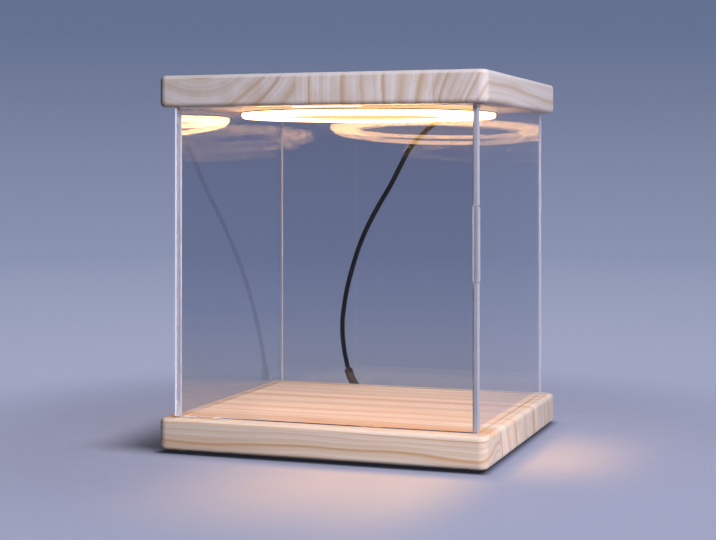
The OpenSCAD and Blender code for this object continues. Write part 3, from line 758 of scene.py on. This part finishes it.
# Studio: a pale round floor that runs up into a slate wall
studio = {
    "floorRadius": 2.2,
    "wallRadius": 3.0,
    "wallHeight": 4.0,
    "floorNear": srgb(160, 164, 192),
    # colour of the lamp's light, painted into the floor where the pools lie
    "lampPoolColour": srgb(226, 202, 196),
    # Where the lamp's glow lies on the floor, in front and to the right: along X, then along Y,
    # each as (starts, full, full, ends)
    "pools": [
        (((-0.10, 0.03), (0.075, 0.135)), ((-0.32, -0.15), (-0.125, -0.105)), 0.82),
        (((0.116, 0.13), (0.14, 0.21)), ((-0.14, -0.04), (-0.03, 0.09)), 0.62),
    ],
    # Where the floor lies in the base's shade, given in the same way
    "shades": [
        (((-0.119, -0.109), (0.104, 0.113)), ((-0.102, -0.095), (0.10, 0.115)), 0.90),
        (((-0.185, -0.118), (0.0, 0.05)), ((-0.112, -0.075), (0.0, 0.13)), 0.72),
    ],
    "ownLight": 0.35,  # share of the near floor's colour that takes no light and shade
    # Colours by distance over the floor, and by height up the wall
    "floorStops": [
        (0.0, srgb(163, 167, 196)), (0.25, srgb(160, 165, 194)), (0.5, srgb(152, 159, 187)),
        (1.0, srgb(139, 148, 177))],
    "wallStops": [
        (0.0, srgb(139, 148, 177)), (0.035, srgb(134, 143, 172)), (0.15, srgb(120, 129, 158)),
        (0.27, srgb(101, 114, 146)), (0.6, srgb(94, 107, 139))],
    "wallSpan": 2.0,  # height over which the wall's stops run
    "blendFrom": 0.18,  # floor radius from which light and shade fade out
    "blendTo": 0.42,
    # How the studio looks through the clear sheets, by the same distances and heights
    "floorThrough": [(0.1, (0.82, 0.84, 0.79, 1)), (0.45, (0.72, 0.757, 0.857, 1))],
    "wallThrough": [(0.0, (0.72, 0.757, 0.857, 1)), (0.2, (0.88, 0.88, 0.97, 1))],
    # How bright gloss sees the studio in front of the case and to its left, and how bright it is
    # as a light on the case, on the right and on the left
    "mirrored": 0.25,
    "mirroredLeft": 0.3,
    "bounced": 0.30,
    "bouncedLeft": 0.10,
}


def spunStage(name, profile):
    ring = bmesh.new()
    points = [ring.verts.new((r, 0, z)) for r, z in profile]
    edges = [ring.edges.new(pair) for pair in zip(points, points[1:])]
    bmesh.ops.spin(
        ring, geom=points + edges, cent=(0, 0, 0), axis=(0, 0, 1), angle=math.tau,
        steps=96, use_merge=True)
    bmesh.ops.remove_doubles(ring, verts=ring.verts, dist=1e-6)
    for face in ring.faces:
        face.smooth = True
    mesh = bpy.data.meshes.new(name)
    ring.to_mesh(mesh)
    ring.free()
    obj = bpy.data.objects.new(name, mesh)
    bpy.context.scene.collection.objects.link(obj)
    return obj


def studioLevel(tree, spot):
    # One for the camera, and less for mirrored and bounced light
    path = addNode(tree, "LightPath").outputs
    axes = addNode(tree, "SeparateXYZ", {0: spot}).outputs
    front = calc(tree, "MULTIPLY", span(tree, axes[1], 0.0, -0.6), path["Is Glossy Ray"])
    level = calc(tree, "MULTIPLY_ADD", front, studio["mirrored"] - 1, 1.0)
    left = calc(tree, "MULTIPLY", span(tree, axes[0], -0.15, -0.6), calc(
        tree, "SUBTRACT", path["Is Glossy Ray"], path["Is Transmission Ray"]))
    level = calc(tree, "MULTIPLY", level, calc(
        tree, "MULTIPLY_ADD", left, studio["mirroredLeft"] - 1, 1.0))
    bounce = span(tree, axes[0], -0.15, 0.1, studio["bouncedLeft"] - 1, studio["bounced"] - 1)
    bounce = calc(tree, "MULTIPLY_ADD", bounce, path["Is Diffuse Ray"], 1.0)
    return calc(tree, "MULTIPLY", level, bounce), path["Is Transmission Ray"]


def patches(tree, axes, rows):
    total = None
    for (xRise, xFall), (yRise, yFall), weight in rows:
        parts = [span(tree, axes[0], *xRise), span(tree, axes[0], *xFall, 1, 0),
                 span(tree, axes[1], *yRise), span(tree, axes[1], *yFall, weight, 0)]
        mask = parts[0]
        for part in parts[1:]:
            mask = calc(tree, "MULTIPLY", mask, part)
        total = mask if total is None else calc(tree, "MAXIMUM", total, mask)
    return total


def floorPaint():
    mat, tree, shader = newMaterial("floorPaint", Specular_IOR_Level=0.2)
    spot = place(tree)
    axes = addNode(tree, "SeparateXYZ", {0: spot}).outputs
    pool = patches(tree, axes, studio["pools"])
    shade = patches(tree, axes, studio["shades"])
    black = (0, 0, 0, 1)
    # Painted light and shade: the lamp's pools and the base's shade are mixed into the floor's colour
    near = mixColour(tree, pool, studio["floorNear"], studio["lampPoolColour"])
    tree.links.new(mixColour(tree, shade, near, black), shader.inputs["Base Color"])
    speckle = addNode(tree, "TexNoise", {"Vector": spot, "Scale": 60.0, "Detail": 3.0}).outputs[0]
    tree.links.new(span(tree, speckle, 0.3, 0.7, 0.55, 0.68), shader.inputs["Roughness"])
    level, through = studioLevel(tree, spot)
    away = addNode(tree, "VectorMath", {0: spot}, operation="LENGTH").outputs["Value"]
    share = calc(tree, "DIVIDE", away, studio["floorRadius"])
    far = ramp(tree, share, studio["floorStops"])
    far = mixColour(tree, shade, mixColour(tree, pool, far, studio["lampPoolColour"]), black)
    far = mixColour(tree, through, far, ramp(tree, share, studio["floorThrough"]), "MULTIPLY")
    glow = addNode(tree, "Emission", {"Color": far, "Strength": level})
    # Through the back panel only the plain floor shows, without light and shade
    fade = calc(tree, "MAXIMUM",
                span(tree, away, studio["blendFrom"], studio["blendTo"], studio["ownLight"], 1.0),
                calc(tree, "MULTIPLY", span(tree, axes[1], 0.12, 0.30), through))
    both = addNode(tree, "MixShader", {0: fade, 1: shader.outputs[0], 2: glow.outputs[0]})
    # Mirrored and bounced light see less of the lit floor too
    dark = addNode(tree, "Emission", {"Strength": 0.0})
    kept = addNode(tree, "MixShader", {0: calc(tree, "MULTIPLY", calc(
        tree, "SUBTRACT", 1.0, level), calc(tree, "SUBTRACT", 1.0, fade)),
        1: both.outputs[0], 2: dark.outputs[0]})
    setSurface(tree, kept)
    return mat


def wallPaint():
    mat, tree, shader = newMaterial("wallPaint")
    spot = place(tree)
    level, through = studioLevel(tree, spot)
    height = addNode(tree, "SeparateXYZ", {0: spot}).outputs[2]
    share = calc(tree, "DIVIDE", height, studio["wallSpan"])
    colour = ramp(tree, share, studio["wallStops"])
    colour = mixColour(tree, through, colour, ramp(tree, share, studio["wallThrough"]), "MULTIPLY")
    glow = addNode(tree, "Emission", {"Color": colour, "Strength": level})
    setSurface(tree, glow)
    return mat


floor = spunStage("floor", [(0, 0), (0.5, 0), (1.2, 0), (studio["floorRadius"], 0)])
floor.data.materials.append(floorPaint())
bend = studio["wallRadius"] - studio["floorRadius"]
arc = [math.radians(a) for a in range(0, 91, 9)]
wall = spunStage("backdrop", [
    (studio["floorRadius"] + bend * math.sin(a), bend - bend * math.cos(a)) for a in arc
] + [(studio["wallRadius"], studio["wallHeight"])])
wall.data.materials.append(wallPaint())
wall.visible_diffuse = False
wall.visible_shadow = False

lights = {
    "keyLight": {
        "place": (0.86, -0.76, 0.62), "aim": (0, 0, 0.10), "size": 0.40, "watts": 14.8,
        "colour": (0.96, 0.95, 1.0), "mirrored": False},
    "glintLight": {  # the part of the key that shows in gloss
        "place": (0.86, -0.76, 0.62), "aim": (0, 0, 0.10), "size": 0.40, "watts": 1.7,
        "colour": (0.96, 0.95, 1.0), "mirrored": True},
    "topLight": {
        "place": (0.35, 0.5, 2.2), "aim": (0, 0, 0.2), "size": 1.2, "watts": 6.0,
        "colour": (0.86, 0.91, 1.0), "mirrored": True},
}


def addLight(name, s):
    data = bpy.data.lights.new(name, "AREA")
    data.size = s["size"]
    data.energy = s["watts"]
    data.color = s["colour"]
    obj = bpy.data.objects.new(name, data)
    obj.location = s["place"]
    obj.visible_glossy = s["mirrored"]
    away = Vector(s["aim"]) - Vector(s["place"])
    obj.rotation_euler = away.to_track_quat("-Z", "Y").to_euler()
    bpy.context.scene.collection.objects.link(obj)


for lightName, lightSettings in lights.items():
    addLight(lightName, lightSettings)

# The air is darker on the left, where the photo's edges fall into shade
air = {"colour": (0.85, 0.88, 0.98, 1), "from": -0.3, "to": 0.8, "left": 0.06, "right": 0.42}


def addAir(s):
    world = bpy.data.worlds.new("studioAir")
    world.use_nodes = True
    tree = world.node_tree
    sky = tree.nodes["Background"]
    sky.inputs["Color"].default_value = s["colour"]
    side = addNode(tree, "SeparateXYZ", {
        0: tree.nodes.new("ShaderNodeTexCoord").outputs["Generated"]}).outputs[0]
    strength = span(tree, side, s["from"], s["to"], s["left"], s["right"])
    tree.links.new(strength, sky.inputs["Strength"])
    bpy.context.scene.world = world


addAir(air)
bpy.context.scene.view_settings.view_transform = "Standard"
print("studio lit")
